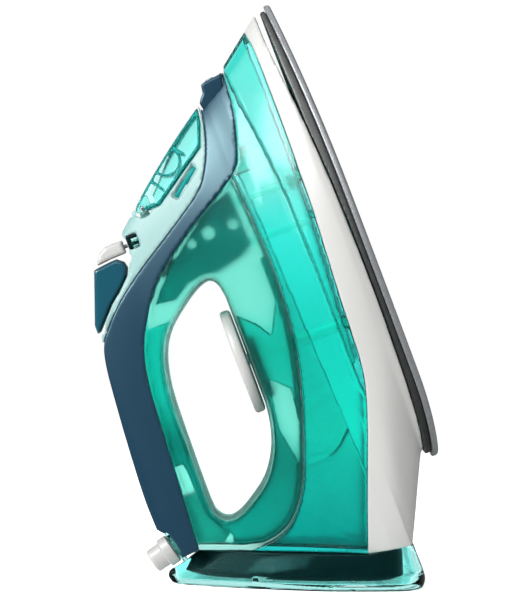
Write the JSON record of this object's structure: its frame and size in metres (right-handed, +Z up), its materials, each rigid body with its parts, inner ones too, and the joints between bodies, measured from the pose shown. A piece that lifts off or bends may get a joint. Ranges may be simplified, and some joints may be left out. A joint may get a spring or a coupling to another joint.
{
  "type": "steam iron",
  "caption": "Upright steam iron with a see-through water tank, open loop handle, soft cover, filler door, spray and steam buttons, temperature dial and clear heel rest.",
  "frame": {"origin": "centre of the overall box on the table, under the iron as it stands on its heel rest", "axes": "+Z up from the table to the tip, +X the way the working face looks, +Y across the iron"},
  "size_m": [0.1814, 0.117, 0.3067],
  "materials": {
    "coated_sole": "speckled anodised ceramic coat",
    "cast_sole": "dark die-cast edge",
    "bare_steel": "pressed sheet and screws",
    "heater": "oxidised sheath",
    "brass_part": "dull",
    "black_plastic": "heat-proof moulding",
    "white_plastic": "satin",
    "clear_teal": "see-through",
    "handle_teal": "see-through, paler than the tank",
    "inner_teal": "dark, faintly see-through",
    "door_teal": "see-through",
    "pale_mint": "milky, see-through",
    "soft_navy": "soft touch, satin",
    "gloss_navy": "polished",
    "smoke_teal": "dark, polished",
    "foot_clear": "clear with a green tint",
    "grey_plastic": "inner moulding"
  },
  "bodies": {
    "iron": {"soleplate": "coated_sole", "sole_casting": "cast_sole", "heating_element": "heater", "steam_chamber_cover": "bare_steel", "heat_shield": "bare_steel", "thermostat": "brass_part", "thermal_fuse": "black_plastic", "casting_screw_front": "bare_steel", "casting_screw_left": "bare_steel", "casting_screw_right": "bare_steel", "skirt": "white_plastic", "tank_lower": "clear_teal", "tank_upper": "clear_teal", "filler_neck": "clear_teal", "drip_valve": "grey_plastic", "handle_body": "handle_teal", "handle_cover": "soft_navy", "control_deck": "pale_mint", "hinge_cap": "door_teal", "door_hinge_pin": "bare_steel", "spray_nozzle": "soft_navy", "nozzle_tip": "grey_plastic", "spray_pump": "grey_plastic", "spray_hose": "white_plastic", "steam_pump": "grey_plastic", "steam_hose": "white_plastic", "slider_guide": "smoke_teal", "pump_carrier": "inner_teal", "dial_bearing": "smoke_teal", "terminal_cover": "smoke_teal", "terminal_block": "black_plastic", "rear_cover": "smoke_teal", "heel_rest": "foot_clear", "rear_screw_left": "bare_steel", "rear_screw_right": "bare_steel", "cord_collar": "foot_clear"},
    "spray_button_body": {"spray_button": "white_plastic", "spray_rod": "white_plastic"},
    "steam_button_body": {"steam_button": "gloss_navy", "steam_rod": "white_plastic"},
    "slider_body": {"steam_slider": "door_teal"},
    "valve_body": {"valve_rod": "bare_steel"},
    "dial_body": {"temperature_dial": "white_plastic", "dial_shaft": "white_plastic"},
    "door_body": {"filler_door": "door_teal"},
    "bush_body": {"cord_bush": "white_plastic"}
  },
  "joints": [
    {"name": "spray_press", "type": "slide", "parent": "iron", "child": "spray_button_body", "axis": [0.9367, 0, 0.3502], "range_m": [0, 0.0016], "stiffness_N_per_m": 1500},
    {"name": "steam_press", "type": "slide", "parent": "iron", "child": "steam_button_body", "axis": [0.9367, 0, 0.3502], "range_m": [0, 0.004], "stiffness_N_per_m": 1200},
    {"name": "steam_select", "type": "slide", "parent": "iron", "child": "slider_body", "axis": [0, 1, 0], "range_m": [-0.003, 0.003]},
    {"name": "valve_lift", "type": "slide", "parent": "iron", "child": "valve_body", "axis": [-0.9367, 0, -0.3502], "range_m": [-0.0015, 0.0015]},
    {"name": "dial_turn", "type": "hinge", "parent": "iron", "child": "dial_body", "pos_m": [-0.00888, 0, 0.1192], "axis": [-0.9367, 0, -0.3502], "range_deg": [0, 270]},
    {"name": "door_hinge", "type": "hinge", "parent": "iron", "child": "door_body", "pos_m": [-0.06487, 0, 0.19872], "axis": [0, -1, 0], "range_deg": [0, 75]},
    {"name": "cord_swivel", "type": "hinge", "parent": "iron", "child": "bush_body", "pos_m": [-0.0599, 0, 0.0117], "axis": [-0.8202, 0, -0.5721], "range_deg": [-170, 170]}
  ],
  "couplings": [
    {"joint": "valve_lift", "follows": "steam_select", "ratio": 0.5}
  ]
}
